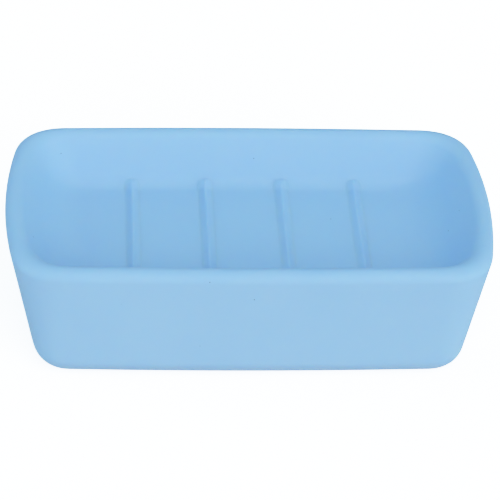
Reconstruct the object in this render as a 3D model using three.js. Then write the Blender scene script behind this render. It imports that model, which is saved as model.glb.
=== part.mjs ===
// A one-piece silicone tray for soap: a flared, round-cornered box with a full round rim,
// a flat raised floor with low ribs across it, and a recess under the floor.
// Millimetres, +Z up, the length along X, standing on Z = 0 and centred on X and Y.

import * as THREE from 'three';
import { LoftGeometry } from 'three/addons/geometries/LoftGeometry.js';
import { mergeGeometries } from 'three/addons/utils/BufferGeometryUtils.js';

// Outer shape. The half sizes are taken at the corners, and each side bows out past them.
const HEIGHT = 41.7;
const RIM_HALF_LENGTH = 70.7;
const RIM_HALF_WIDTH = 39;
const RIM_CORNER = 14;
const BASE_HALF_LENGTH = 63;
const BASE_HALF_WIDTH = 37.5;
const BASE_CORNER = 7;
const END_BOW = 5;
const SIDE_BOW = 1;
const CORNER_POWER = 2.6;
const CORNER_SHRINK = 0.6;
const RIM_RADIUS = 3.2;
const RIM_INNER_TURN = 150 * Math.PI / 180;
const BASE_EDGE_RADIUS = 8;

// Inside of the tray.
const FLOOR_HEIGHT = 26.5;
const FLOOR_HALF_LENGTH = 57.6;
const FLOOR_HALF_WIDTH = 26.5;
const FLOOR_CORNER = 7;
const FLOOR_BOW = 0.6;
const END_COVE_RUN = 8;
const SIDE_COVE_RUN = 3.5;
const COVE_RISE = 4;

// Recess under the floor, open below. Its mouth is the inner edge of the standing rim.
const RECESS_HALF_LENGTH = 51.5;
const RECESS_HALF_WIDTH = 26;
const RECESS_CORNER = 6;
const RECESS_END_BOW = 4;
const RECESS_DRAFT = 1;
const RECESS_HEIGHT = 20;
const RECESS_COVE = 2;

// Ribs across the floor.
const RIB_CENTRES = [-35.6, -12.2, 12.2, 35.6];
const RIB_HALF_LENGTH = 22.8;
const RIB_HALF_WIDTH = 2.5;
const RIB_HEIGHT = 1.35;
const RIB_END_RUN = 3;
const RIB_END_SCALE = 0.25;
const RIB_CREST_POWER = 1.4;

// How finely the curves are cut.
const CORNER_STEPS = 8;
const LONG_EDGE_STEPS = 6;
const SHORT_EDGE_STEPS = 4;
const COVE_STEPS = 4;
const RIM_STEPS = 10;
const BASE_EDGE_STEPS = 5;
const RIB_ARCH_STEPS = 10;
const RIB_END_STEPS = 4;

const silicone = new THREE.MeshStandardMaterial({ color: 0x92c1e7, roughness: 0.8, metalness: 0 });

const mix = THREE.MathUtils.lerp;

// One point of a squared-off quarter circle, from the X side (turn 0) to the Y side (turn 1).
function cornerPoint(turn) {
  const angle = turn * Math.PI / 2;
  const c = Math.cos(angle);
  const s = Math.sin(angle);
  const reach = (c ** CORNER_POWER + s ** CORNER_POWER) ** (-1 / CORNER_POWER);
  return [reach * c, reach * s];
}

// Adds the outward bow of the ends and of the long sides to a point of the plain outline.
function bowed(x, y, plan) {
  const endPush = plan.endBow * (1 - (y / plan.halfWidth) ** 2) * x / plan.halfLength;
  const sidePush = plan.sideBow * (1 - (x / plan.halfLength) ** 2) * y / plan.halfWidth;
  return [x + endPush, y + sidePush];
}

// The points of one quarter of the plain outline: half an end, the corner, half a long side.
function quarter(plan) {
  const straightX = plan.halfLength - plan.corner;
  const straightY = plan.halfWidth - plan.corner;
  const points = [];
  for (let i = 0; i < SHORT_EDGE_STEPS / 2; i++) {
    points.push([plan.halfLength, straightY * i / (SHORT_EDGE_STEPS / 2)]);
  }
  for (let i = 0; i <= CORNER_STEPS; i++) {
    const [u, v] = cornerPoint(i / CORNER_STEPS);
    points.push([straightX + plan.corner * u, straightY + plan.corner * v]);
  }
  for (let i = 1; i <= LONG_EDGE_STEPS / 2; i++) {
    points.push([straightX * (1 - i / (LONG_EDGE_STEPS / 2)), plan.halfWidth]);
  }
  return points;
}

// A closed ring at one height, clockwise seen from above.
function ring(plan, z) {
  const first = quarter(plan);
  const second = first.slice(0, -1).reverse().map(([x, y]) => [-x, y]);
  const upper = [...first, ...second];
  const lower = upper.slice(1, -1).reverse().map(([x, y]) => [x, -y]);
  const around = [...upper, ...lower];
  return around.reverse().map(([x, y]) => {
    const [bx, by] = bowed(x, y, plan);
    return new THREE.Vector3(bx, by, z);
  });
}

// The outer outline at height z, moved in by inset.
function outerPlan(z, inset) {
  const rise = z / HEIGHT;
  return {
    halfLength: mix(BASE_HALF_LENGTH, RIM_HALF_LENGTH, rise) - inset,
    halfWidth: mix(BASE_HALF_WIDTH, RIM_HALF_WIDTH, rise) - inset,
    corner: mix(BASE_CORNER, RIM_CORNER, rise) - inset * CORNER_SHRINK,
    endBow: END_BOW,
    sideBow: SIDE_BOW,
  };
}

// The round rim, an angle up and over from where it leaves the outer wall.
function rimHeight(angle) {
  return HEIGHT - RIM_RADIUS + RIM_RADIUS * Math.sin(angle);
}

function rimPlan(angle) {
  return outerPlan(rimHeight(angle), RIM_RADIUS * (1 - Math.cos(angle)));
}

// The inner wall's outline at height z, from the floor's edge up to where the rim begins.
function innerPlan(z) {
  const top = rimPlan(RIM_INNER_TURN);
  const rise = (z - FLOOR_HEIGHT) / (rimHeight(RIM_INNER_TURN) - FLOOR_HEIGHT);
  return {
    halfLength: mix(FLOOR_HALF_LENGTH, top.halfLength, rise),
    halfWidth: mix(FLOOR_HALF_WIDTH, top.halfWidth, rise),
    corner: mix(FLOOR_CORNER, top.corner, rise),
    endBow: mix(FLOOR_BOW, top.endBow, rise),
    sideBow: mix(FLOOR_BOW, top.sideBow, rise),
  };
}

// The cove between floor and wall: a parabola, longer along the ends than along the sides.
function covePlan(step) {
  const rise = step / COVE_STEPS;
  const z = FLOOR_HEIGHT + COVE_RISE * rise * rise;
  const plan = innerPlan(z);
  const back = (1 - rise) * (1 - rise);
  plan.halfLength -= END_COVE_RUN * back;
  plan.halfWidth -= SIDE_COVE_RUN * back;
  return ring(plan, z);
}

// The recess's outline, moved in by inset.
function recessPlan(inset) {
  return {
    halfLength: RECESS_HALF_LENGTH - inset,
    halfWidth: RECESS_HALF_WIDTH - inset,
    corner: RECESS_CORNER - inset,
    endBow: RECESS_END_BOW,
    sideBow: SIDE_BOW,
  };
}

// A flat face that fills a ring, looking up. The outline is the same on both sides of the X axis.
function flatFace(points, z) {
  const outline = points.map((point) => new THREE.Vector2(point.x, point.y));
  return new THREE.ShapeGeometry(new THREE.Shape(outline)).translate(0, 0, z);
}

function trayBody() {
  const sections = [];
  for (let i = 0; i <= COVE_STEPS; i++) {
    sections.push(covePlan(i));
  }
  for (let i = 0; i <= RIM_STEPS; i++) {
    const angle = RIM_INNER_TURN * (1 - i / RIM_STEPS);
    sections.push(ring(rimPlan(angle), rimHeight(angle)));
  }
  for (let i = 0; i <= BASE_EDGE_STEPS; i++) {
    const angle = Math.PI / 2 * (1 - i / BASE_EDGE_STEPS);
    const z = BASE_EDGE_RADIUS * (1 - Math.cos(angle));
    sections.push(ring(outerPlan(z, BASE_EDGE_RADIUS * (1 - Math.sin(angle))), z));
  }
  sections.push(ring(recessPlan(0), 0));
  sections.push(ring(recessPlan(RECESS_DRAFT), RECESS_HEIGHT - RECESS_COVE));
  sections.push(ring(recessPlan(RECESS_DRAFT + RECESS_COVE), RECESS_HEIGHT));
  const skin = new LoftGeometry(sections);
  const floor = flatFace(sections[0], FLOOR_HEIGHT);
  const recessTop = flatFace(sections[sections.length - 1], -RECESS_HEIGHT).rotateX(Math.PI);
  return mergeGeometries([skin, floor, recessTop]);
}

// A low ridge along Y with a flat underside, shrinking to blunt rounded ends.
function floorRib(centreX) {
  const stations = [];
  for (let i = 0; i <= RIB_END_STEPS; i++) {
    const angle = Math.PI / 2 * i / RIB_END_STEPS;
    const y = RIB_HALF_LENGTH - RIB_END_RUN * Math.sin(angle);
    const size = mix(RIB_END_SCALE, 1, Math.sqrt(1 - (1 - Math.sin(angle)) ** 2));
    stations.push([-y, size]);
  }
  const mirrored = stations.map(([y, size]) => [-y, size]).reverse();
  const sections = [...stations, ...mirrored].map(([y, size]) => {
    const points = [];
    for (let i = 0; i <= RIB_ARCH_STEPS; i++) {
      const across = 2 * i / RIB_ARCH_STEPS - 1;
      const up = (1 - Math.abs(across) ** RIB_CREST_POWER) * RIB_HEIGHT * size;
      points.push(new THREE.Vector3(centreX + across * RIB_HALF_WIDTH * size, y, FLOOR_HEIGHT + up));
    }
    return points;
  });
  return new LoftGeometry(sections, { capStart: true, capEnd: true });
}

const tray = new THREE.Group();
tray.name = 'soap_tray';

const body = new THREE.Mesh(trayBody(), silicone);
body.name = 'tray_body';
tray.add(body);

RIB_CENTRES.forEach((centreX, index) => {
  const rib = new THREE.Mesh(floorRib(centreX), silicone);
  rib.name = `floor_rib_${index + 1}`;
  tray.add(rib);
});

export default tray;
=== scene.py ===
"""A silicone soap tray: a flared, round-cornered moulding with low ribs across its floor.

Metres, +Z up, the length along X, standing on Z = 0.
"""

import math

import bpy
import numpy as np
from mathutils import Matrix, Vector


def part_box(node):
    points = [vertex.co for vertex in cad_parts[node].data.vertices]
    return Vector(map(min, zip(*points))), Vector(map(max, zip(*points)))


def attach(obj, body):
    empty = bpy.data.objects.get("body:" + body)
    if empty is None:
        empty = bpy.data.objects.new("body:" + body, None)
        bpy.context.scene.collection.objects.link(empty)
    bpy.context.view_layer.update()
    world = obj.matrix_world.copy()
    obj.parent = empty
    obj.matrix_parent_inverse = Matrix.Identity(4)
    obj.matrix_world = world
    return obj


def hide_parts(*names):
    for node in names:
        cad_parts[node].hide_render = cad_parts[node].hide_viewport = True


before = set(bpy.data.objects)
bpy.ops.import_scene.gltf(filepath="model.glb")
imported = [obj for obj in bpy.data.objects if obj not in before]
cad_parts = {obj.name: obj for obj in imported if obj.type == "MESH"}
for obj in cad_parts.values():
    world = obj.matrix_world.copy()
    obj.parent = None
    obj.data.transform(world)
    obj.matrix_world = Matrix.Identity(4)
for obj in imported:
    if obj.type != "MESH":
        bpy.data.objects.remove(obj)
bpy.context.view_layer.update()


# ---------------------------------------------------------------------------------------------
# Tray body. One moulding of light blue silicone, cast in a two-part mould: a flared box with
# bowed sides, a full round rim and a raised floor. The floor meets the walls in a soft cove,
# wide at the ends and tight along the sides, and the underside is recessed inside a flat foot.

MM = 0.001
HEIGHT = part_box("tray_body")[1].z - 0.01 * MM
RIM_RADIUS = 3.2 * MM
WALL_TOP = HEIGHT - RIM_RADIUS
BASE_HALF_LENGTH, END_FLARE = 63.0 * MM, 7.7 * MM
BASE_HALF_WIDTH, SIDE_FLARE = 37.5 * MM, 1.5 * MM
BASE_CORNER, CORNER_GROWTH = 7.0 * MM, 7.0 * MM
END_BOW = 4.95 * MM
SIDE_BOW = 0.99 * MM
BASE_EDGE = 8.0 * MM
CORNER_POWER = 2.6
CORNER_SHRINK = 0.6

FLOOR_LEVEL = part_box("floor_rib_1")[0].z
FLOOR_BOWS = (0.6 * MM, 0.6 * MM)
FLOOR_STEPS = 24
COVE_STEPS = 16
RIM_TURNS = 181
RIM_STEPS = 30

RECESS_LEVEL = 20.0 * MM
RECESS_BOWS = (4.0 * MM, 1.0 * MM)
RECESS_DRAFT = 1.0 * MM
RECESS_COVE = 2.0 * MM
MOUTH_RADIUS = 0.8 * MM
POLE_RING = 0.02


def plan_outline(half_length, half_width, corner, end_bow, side_bow, end=12, turn=28, side=40):
    """A rounded rectangle seen from above, as a closed ring of points running anticlockwise.

    Each corner is a quarter of the curve |x|^p + |y|^p = 1. Every point is then pushed outwards
    by a parabola that is highest in the middle of its side: end_bow on the ends, side_bow on
    the long sides.
    """
    angle = np.linspace(0, math.pi / 2, turn + 1)
    across, up = np.cos(angle).clip(0), np.sin(angle)
    reach = corner * (across**CORNER_POWER + up**CORNER_POWER) ** (-1 / CORNER_POWER)
    straight_x, straight_y = half_length - corner, half_width - corner
    x = np.concatenate([
        np.full(end, half_length),
        straight_x + reach * across,
        straight_x * np.linspace(1, 0, side + 1)[1:],
    ])
    y = np.concatenate([
        straight_y * np.linspace(0, 1, end + 1)[:-1],
        straight_y + reach * up,
        np.full(side, half_width),
    ])
    x, y = np.concatenate([x, -x[-2::-1]]), np.concatenate([y, y[-2::-1]])
    x, y = np.concatenate([x, x[-2:0:-1]]), np.concatenate([y, -y[-2:0:-1]])
    return np.stack([
        x + end_bow * (1 - (y / half_width) ** 2) * x / half_length,
        y + side_bow * (1 - (x / half_length) ** 2) * y / half_width,
    ], axis=-1)


def level(outline, z):
    """The same outline as 3-D points at one height."""
    return np.column_stack([outline, np.full(len(outline), z)])


def outer_ring(inset, z):
    """The outside of the tray at height z, moved in by inset. Every size grows evenly with z."""
    rise = z / HEIGHT
    return level(plan_outline(
        BASE_HALF_LENGTH + END_FLARE * rise - inset,
        BASE_HALF_WIDTH + SIDE_FLARE * rise - inset,
        BASE_CORNER + CORNER_GROWTH * rise - inset * CORNER_SHRINK,
        END_BOW,
        SIDE_BOW,
    ), z)


def straight(first, last, steps):
    """Rings spaced evenly from one ring to another, leaving out the first."""
    along = (np.arange(1, steps + 1) / steps)[:, None, None]
    return first + (last - first) * along


def bend(first, corner, last, steps):
    """Rings along a parabola that leaves first towards corner and arrives at last from it."""
    along = (np.arange(1, steps + 1) / steps)[:, None, None]
    return (1 - along) ** 2 * first + 2 * along * (1 - along) * corner + along**2 * last


def ring_part(first, last, distance):
    """The ring a given distance from first on the straight way to last."""
    gap = np.linalg.norm(last - first, axis=-1, keepdims=True)
    return first + (last - first) / gap * distance


# The floor's corner is where floor and wall would meet without the cove, and the floor's edge
# is where the cove begins.
floor_corner = level(plan_outline(57.6 * MM, 26.5 * MM, 7.0 * MM, *FLOOR_BOWS), FLOOR_LEVEL)
floor_edge = level(plan_outline(50.0 * MM, 23.0 * MM, 4.5 * MM, *FLOOR_BOWS), FLOOR_LEVEL)
cove_run = np.linalg.norm(floor_corner - floor_edge, axis=-1, keepdims=True)

# The rim is a half round carried along the top of the wall. It is left at the turn where it
# points straight down at the floor's corner, so the inner wall flows out of it without a crease.
rim_turn = np.linspace(0, math.pi, RIM_TURNS)
rim_round = np.stack([
    outer_ring(RIM_RADIUS * (1 - math.cos(a)), WALL_TOP + RIM_RADIUS * math.sin(a))
    for a in rim_turn
])
rim_lean = np.gradient(rim_round, rim_turn, axis=0)
to_corner = floor_corner - rim_round
inward = floor_corner - rim_round[0]
inward = inward[:, :2] / np.linalg.norm(inward[:, :2], axis=-1, keepdims=True)
lean_in = (rim_lean[..., :2] * inward).sum(-1)
corner_in = (to_corner[..., :2] * inward).sum(-1)
overshoot = lean_in * to_corner[..., 2] - rim_lean[..., 2] * corner_in
past_top = rim_turn[:, None] > math.pi / 2
leave = np.argmax(past_top & (overshoot > 0), axis=0)
leave_turn = np.where(leave > 0, rim_turn[leave], math.pi)

rim_rows = np.linspace(0, 1, RIM_STEPS + 1)[:, None] * leave_turn
row_index = rim_rows / math.pi * (RIM_TURNS - 1)
row_below = np.minimum(row_index.astype(int), RIM_TURNS - 2)
row_share = (row_index - row_below)[..., None]
columns = np.arange(rim_round.shape[1])
rim_below, rim_above = rim_round[row_below, columns], rim_round[row_below + 1, columns]
rim = rim_below * (1 - row_share) + rim_above * row_share

cove_top = floor_corner + (rim[-1] - floor_corner) * cove_run / np.linalg.norm(
    rim[-1] - floor_corner, axis=-1, keepdims=True
)

base_turn = np.linspace(0, math.pi / 2, 15)[1:]
base_edge = np.stack([
    outer_ring(BASE_EDGE * (1 - math.cos(a)), BASE_EDGE * (1 - math.sin(a))) for a in base_turn
])

# The recess's half length, half width and corner at its mouth.
recess_sizes = np.array([51.5, 26.0, 6.0]) * MM
ceiling_inset = RECESS_DRAFT + RECESS_COVE
recess_mouth = level(plan_outline(*recess_sizes, *RECESS_BOWS), 0)
recess_corner = level(plan_outline(*(recess_sizes - RECESS_DRAFT), *RECESS_BOWS), RECESS_LEVEL)
recess_ceiling = level(plan_outline(*(recess_sizes - ceiling_inset), *RECESS_BOWS), RECESS_LEVEL)

centre_floor = np.array([0, 0, FLOOR_LEVEL])
centre_recess = np.array([0, 0, RECESS_LEVEL])
mouth_start = ring_part(recess_mouth, base_edge[-1], MOUTH_RADIUS)
mouth_end = ring_part(recess_mouth, recess_corner, MOUTH_RADIUS)
recess_top = ring_part(recess_corner, recess_mouth, RECESS_COVE)
tray_rings = np.concatenate([
    straight(centre_floor + (floor_edge - centre_floor) * POLE_RING, floor_edge, FLOOR_STEPS),
    bend(floor_edge, floor_corner, cove_top, COVE_STEPS),
    straight(cove_top, rim[-1], steps=12),
    rim[-2::-1],
    straight(rim[0], outer_ring(0, BASE_EDGE), steps=16),
    base_edge,
    straight(base_edge[-1], mouth_start, steps=3),
    bend(mouth_start, recess_mouth, mouth_end, steps=5),
    straight(mouth_end, recess_top, steps=8),
    bend(recess_top, recess_corner, recess_ceiling, steps=6),
    straight(
        recess_ceiling, centre_recess + (recess_ceiling - centre_recess) * POLE_RING, steps=16
    ),
])


def closed_skin(name, rings, first_pole, last_pole):
    """A closed mesh through a stack of rings, drawn together to one point at each end."""
    count, around = rings.shape[:2]
    points = np.concatenate([[first_pole], rings.reshape(-1, 3), [last_pole]])
    here = np.arange(around)
    after = np.roll(here, -1)
    row = 1 + np.arange(count - 1)[:, None] * around
    quads = np.stack([row + here, row + around + here, row + around + after, row + after], -1)
    last_row = 1 + (count - 1) * around
    end_point = np.full_like(here, len(points) - 1)
    first_fan = np.stack([np.zeros_like(here), 1 + here, 1 + after], -1)
    last_fan = np.stack([last_row + here, end_point, last_row + after], -1)
    faces = quads.reshape(-1, 4).tolist() + first_fan.tolist() + last_fan.tolist()
    mesh = bpy.data.meshes.new(name)
    mesh.from_pydata(points.tolist(), [], faces)
    mesh.validate()
    mesh.polygons.foreach_set("use_smooth", np.ones(len(mesh.polygons), dtype=bool))
    piece = bpy.data.objects.new(name, mesh)
    bpy.context.collection.objects.link(piece)
    return piece


tray = closed_skin("tray_body_skin", tray_rings, centre_floor, centre_recess)


def silicone_finish(name):
    """Matte light blue silicone: a faintly clouded pigment, a fine dry grain and a few specks."""
    finish = bpy.data.materials.new(name)
    finish.use_nodes = True
    nodes, links = finish.node_tree.nodes, finish.node_tree.links
    shader = nodes["Principled BSDF"]
    place = nodes.new("ShaderNodeTexCoord")

    cloud = nodes.new("ShaderNodeTexNoise")
    cloud.inputs["Scale"].default_value = 45
    cloud.inputs["Detail"].default_value = 3
    links.new(place.outputs["Object"], cloud.inputs["Vector"])
    pigment = nodes.new("ShaderNodeValToRGB")
    pigment.color_ramp.elements[0].position = 0.3
    pigment.color_ramp.elements[0].color = (0.262, 0.490, 0.810, 1)
    pigment.color_ramp.elements[1].position = 0.7
    pigment.color_ramp.elements[1].color = (0.270, 0.500, 0.818, 1)
    links.new(cloud.outputs["Fac"], pigment.inputs["Fac"])

    # A few dust specks, 0.3 mm across, caught in the surface: balls round scattered points.
    scatter = nodes.new("ShaderNodeTexVoronoi")
    scatter.inputs["Scale"].default_value = 140
    links.new(place.outputs["Object"], scatter.inputs["Vector"])
    speck = nodes.new("ShaderNodeMapRange")
    speck.inputs["From Min"].default_value = 0.018
    speck.inputs["From Max"].default_value = 0.034
    speck.inputs["To Min"].default_value = 0.35
    speck.inputs["To Max"].default_value = 1.0
    links.new(scatter.outputs["Distance"], speck.inputs["Value"])
    specked = nodes.new("ShaderNodeVectorMath")
    specked.operation = "SCALE"
    links.new(pigment.outputs["Color"], specked.inputs[0])
    links.new(speck.outputs["Result"], specked.inputs["Scale"])
    links.new(specked.outputs["Vector"], shader.inputs["Base Color"])

    grain = nodes.new("ShaderNodeTexNoise")
    grain.inputs["Scale"].default_value = 2600
    grain.inputs["Detail"].default_value = 2
    links.new(place.outputs["Object"], grain.inputs["Vector"])
    sheen_range = nodes.new("ShaderNodeMapRange")
    sheen_range.inputs["To Min"].default_value = 0.56
    sheen_range.inputs["To Max"].default_value = 0.66
    links.new(grain.outputs["Fac"], sheen_range.inputs["Value"])
    links.new(sheen_range.outputs["Result"], shader.inputs["Roughness"])

    relief = nodes.new("ShaderNodeBump")
    relief.inputs["Strength"].default_value = 0.4
    relief.inputs["Distance"].default_value = 0.00004
    links.new(grain.outputs["Fac"], relief.inputs["Height"])
    links.new(relief.outputs["Normal"], shader.inputs["Normal"])

    shader.inputs["Specular IOR Level"].default_value = 0.3
    shader.inputs["Subsurface Weight"].default_value = 0.5
    shader.inputs["Subsurface Radius"].default_value = (0.4, 0.8, 1.4)
    shader.inputs["Subsurface Scale"].default_value = 0.001
    return finish


silicone = silicone_finish("matte blue silicone")
tray.data.materials.append(silicone)
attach(tray, "root")
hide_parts("tray_body")


# ---------------------------------------------------------------------------------------------
# Floor ribs. Four low ridges across the floor, moulded in one with it, that keep the soap off
# the wet floor. Each is a narrow tent with a softened crest whose feet run out flush with the
# floor, and both ends climb the cove of the long wall and fade out there.

RIB_HEIGHT = 1.35 * MM
RIB_HALF_WIDTH = 2.5 * MM
RIB_REACH = 28.2 * MM
RIB_NOSE = 2.6 * MM
RIB_TIP_WIDTH = 0.4
RIB_ROOT = 0.3 * MM
FOOT_SINK = 0.02 * MM
CREST_SOFTNESS = 0.7 * MM
FOOT_POWER = 1.7
COVE_RINGS = slice(FLOOR_STEPS - 1, FLOOR_STEPS + COVE_STEPS + 2)


def floor_section(x):
    """The inside of the tray cut across at x, as points (y, z) from front to back.

    Each ring of the skin from the floor's edge to low on the wall is read at x on its back
    half, and the front is its mirror image.
    """
    rings = tray_rings[COVE_RINGS]
    half = rings.shape[1] // 2 + 1
    depth = np.array([
        np.interp(x, ring[half - 1::-1, 0], ring[half - 1::-1, 1]) for ring in rings
    ])
    back = np.stack([depth, rings[:, 0, 2]], axis=-1)
    return np.concatenate([back[::-1] * (-1, 1), back])


def rib_rings(centre_x, across_steps=28, along_steps=110):
    """Cross-sections of one rib, from its front end to its back end.

    The rib is carried along the tray's own section, square to it. Across, its height is a
    tent with a rounded peak, raised to a power so that its feet run out level. Along, height
    and width are full and then fall as a quarter ellipse at each end. The underside is a
    little below the surface.
    """
    section = floor_section(centre_x)
    gaps = np.linalg.norm(np.diff(section, axis=0), axis=-1)
    travelled = np.concatenate([[0], np.cumsum(gaps)])
    way = RIB_REACH * np.sin(np.linspace(-1, 1, along_steps + 1)[1:-1] * math.pi / 2)
    from_front = way + travelled[-1] / 2
    path = np.stack([np.interp(from_front, travelled, section[:, i]) for i in (0, 1)], axis=-1)
    ahead = np.gradient(path, way, axis=0)
    ahead /= np.linalg.norm(ahead, axis=-1, keepdims=True)
    into_nose = ((np.abs(way) - RIB_REACH + RIB_NOSE) / RIB_NOSE).clip(0, 1)
    swell = np.sqrt(1 - into_nose**2)[:, None]
    x = np.linspace(-1, 1, across_steps + 1) * RIB_HALF_WIDTH
    crest = np.hypot(x, CREST_SOFTNESS) - CREST_SOFTNESS
    foot = math.hypot(RIB_HALF_WIDTH, CREST_SOFTNESS) - CREST_SOFTNESS
    tent = (1 - crest / foot).clip(0) ** FOOT_POWER
    top = RIB_HEIGHT * swell * tent - FOOT_SINK
    off = np.concatenate([top, np.full_like(top, -RIB_ROOT)], axis=1)
    across = np.concatenate([x, x[::-1]]) * (RIB_TIP_WIDTH + (1 - RIB_TIP_WIDTH) * swell)
    sections = np.stack([
        centre_x + across,
        path[:, :1] - ahead[:, 1:] * off,
        path[:, 1:] + ahead[:, :1] * off,
    ], axis=-1)
    return sections[:, ::-1]


for number in range(1, 5):
    node = f"floor_rib_{number}"
    low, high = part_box(node)
    sections = rib_rings((low.x + high.x) / 2)
    rib = closed_skin(
        f"floor_rib_{number}_skin", sections, sections[0].mean(axis=0), sections[-1].mean(axis=0)
    )
    rib.data.materials.append(silicone)
    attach(rib, "root")
    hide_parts(node)


# ---------------------------------------------------------------------------------------------
# Table and light. The table is a plain white sheet that glows, so it stays even and takes no
# shadow. It throws no light on the tray: the room does that from below. A broad soft light
# stands in front, a little to the right, with a weaker one on each side and one behind.

TABLE_HALF = 6.0
table_mesh = bpy.data.meshes.new("white_table")
table_mesh.from_pydata(
    [(-TABLE_HALF, -TABLE_HALF, 0), (TABLE_HALF, -TABLE_HALF, 0),
     (TABLE_HALF, TABLE_HALF, 0), (-TABLE_HALF, TABLE_HALF, 0)],
    [],
    [(0, 1, 2, 3)],
)
table = bpy.data.objects.new("white_table", table_mesh)
bpy.context.collection.objects.link(table)
paper = bpy.data.materials.new("glowing white sheet")
paper.use_nodes = True
paper_shader = paper.node_tree.nodes["Principled BSDF"]
paper_shader.inputs["Base Color"].default_value = (0.9, 0.9, 0.9, 1)
paper_shader.inputs["Roughness"].default_value = 0.9
paper_shader.inputs["Specular IOR Level"].default_value = 0.0
paper_shader.inputs["Emission Color"].default_value = (1, 1, 1, 1)
paper_shader.inputs["Emission Strength"].default_value = 1.0
table.data.materials.append(paper)
table.visible_diffuse = table.visible_glossy = table.visible_shadow = False


WARM_WHITE = (1.04, 1.0, 0.97)
COOL_WHITE = (0.75, 1.03, 1.15)


def soft_light(name, turn, height, strength, spread, colour):
    """A distant round light: turn is degrees to the right of the front, height above the table."""
    light = bpy.data.lights.new(name, "SUN")
    light.energy = strength
    light.color = colour
    light.angle = math.radians(spread)
    turn, height = math.radians(turn), math.radians(height)
    towards = Vector((
        math.sin(turn) * math.cos(height), -math.cos(turn) * math.cos(height), math.sin(height)
    ))
    holder = bpy.data.objects.new(name, light)
    holder.rotation_euler = towards.to_track_quat("Z", "Y").to_euler()
    bpy.context.collection.objects.link(holder)


soft_light("front_light", 15, 35, 3.13, 70, WARM_WHITE)
soft_light("right_fill", 90, 18, 0.93, 60, COOL_WHITE)
soft_light("left_fill", -90, 24, 1.22, 60, COOL_WHITE)
soft_light("back_fill", 180, 50, 0.80, 60, COOL_WHITE)

# The room is white, bright below the table's level and dim above it.
room = bpy.data.worlds.new("dim_white_room")
room.use_nodes = True
room_nodes, room_links = room.node_tree.nodes, room.node_tree.links
direction = room_nodes.new("ShaderNodeTexCoord")
height_of = room_nodes.new("ShaderNodeSeparateXYZ")
room_links.new(direction.outputs["Generated"], height_of.inputs["Vector"])
from_below = room_nodes.new("ShaderNodeMapRange")
from_below.inputs["From Min"].default_value = -0.1
from_below.inputs["From Max"].default_value = 0.1
from_below.inputs["To Min"].default_value = 0.7
from_below.inputs["To Max"].default_value = 0.05
room_links.new(height_of.outputs["Z"], from_below.inputs["Value"])
room_links.new(from_below.outputs["Result"], room_nodes["Background"].inputs["Strength"])
room_nodes["Background"].inputs["Color"].default_value = (1, 1, 1, 1)
bpy.context.scene.world = room

# The tone curve: straight in the darks, with a soft shoulder up to the white sheet.
WHITE_LEVEL = 2.4
TONES = ((0.2, 0.205), (0.33, 0.328), (0.6, 0.566), (1.0, 0.808), (1.6, 0.965))
view = bpy.context.scene.view_settings
view.view_transform = "Standard"
view.use_curve_mapping = True
view.curve_mapping.white_level = (WHITE_LEVEL, WHITE_LEVEL, WHITE_LEVEL)
shoulder = view.curve_mapping.curves[3]
shoulder.points[0].location, shoulder.points[1].location = (0, 0), (1, 1)
for brightness, shown in TONES:
    shoulder.points.new(brightness / WHITE_LEVEL, shown)
view.curve_mapping.update()


# ---------------------------------------------------------------------------------------------
# Camera. A long lens, a little left of the middle, looking down over the front rim.

CAMERA_TURN, CAMERA_DROP, CAMERA_ROLL = 0.0866, 0.65118, 0.05558
CAMERA_DISTANCE = 780 * MM
camera = bpy.data.cameras.new("camera")
camera.sensor_width = 36
camera.lens = 178.8
camera.clip_start, camera.clip_end = 0.01, 100
camera_object = bpy.data.objects.new("camera", camera)
looking = Vector((
    math.sin(CAMERA_TURN) * math.cos(CAMERA_DROP),
    math.cos(CAMERA_TURN) * math.cos(CAMERA_DROP),
    -math.sin(CAMERA_DROP),
))
level_right = Vector((math.cos(CAMERA_TURN), -math.sin(CAMERA_TURN), 0))
level_up = level_right.cross(looking)
right = level_right * math.cos(CAMERA_ROLL) + level_up * math.sin(CAMERA_ROLL)
up = level_up * math.cos(CAMERA_ROLL) - level_right * math.sin(CAMERA_ROLL)
aim = Vector((1.13, 0, 21.24)) * MM
place = aim - looking * CAMERA_DISTANCE
camera_object.matrix_world = Matrix((
    (right.x, up.x, -looking.x, place.x),
    (right.y, up.y, -looking.y, place.y),
    (right.z, up.z, -looking.z, place.z),
    (0, 0, 0, 1),
))
bpy.context.collection.objects.link(camera_object)
bpy.context.scene.camera = camera_object
